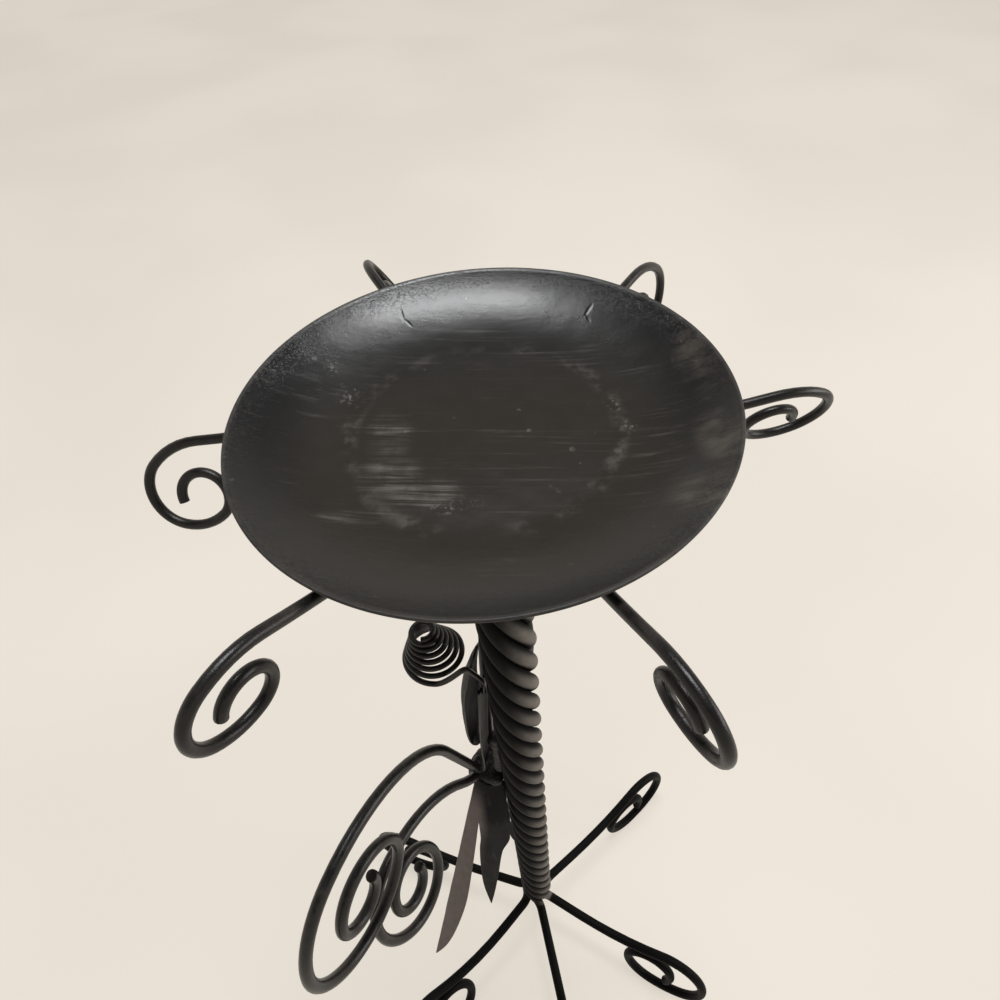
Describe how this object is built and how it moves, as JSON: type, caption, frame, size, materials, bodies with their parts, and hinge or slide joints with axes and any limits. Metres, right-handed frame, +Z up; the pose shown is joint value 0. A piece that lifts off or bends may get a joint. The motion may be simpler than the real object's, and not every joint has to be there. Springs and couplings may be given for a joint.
{
  "type": "angel candle holder",
  "caption": "Wrought-iron candle stand: shallow dish with scroll arms on a twisted rod column, scroll feet and a welded wire and sheet angel.",
  "frame": {"origin": "centre of the dish's flat floor, on its upper face, where the candle stands", "axes": "+Z up along the column, +X to the picture's right, +Y away from the picture's viewer"},
  "size_m": [0.2322, 0.2605, 0.5124],
  "materials": {
    "dish_paint": "satin black paint with worn, dusty patches",
    "column_paint": "satin black paint",
    "arm_paint": "satin black paint",
    "rod_paint": "satin black paint",
    "sheet_paint": "satin black paint",
    "weld_paint": "satin black paint"
  },
  "bodies": {
    "root": {"angel_bodice": "sheet_paint", "angel_body_and_gown": "sheet_paint", "angel_head": "rod_paint", "candle_dish": "dish_paint", "column_core": "column_paint", "column_rod_1": "column_paint", "column_rod_2": "column_paint", "column_rod_3": "column_paint", "column_rod_4": "column_paint", "column_rod_5": "column_paint", "column_rod_6": "column_paint", "dish_arm_1": "arm_paint", "dish_arm_2": "arm_paint", "dish_arm_3": "arm_paint", "dish_arm_4": "arm_paint", "dish_arm_5": "arm_paint", "dish_arm_6": "arm_paint", "weld_waist_far": "weld_paint", "weld_waist_near": "weld_paint", "wing_far_lower": "rod_paint", "wing_far_upper": "rod_paint", "wing_near_lower": "rod_paint", "wing_near_upper": "rod_paint"}
  },
  "joints": []
}
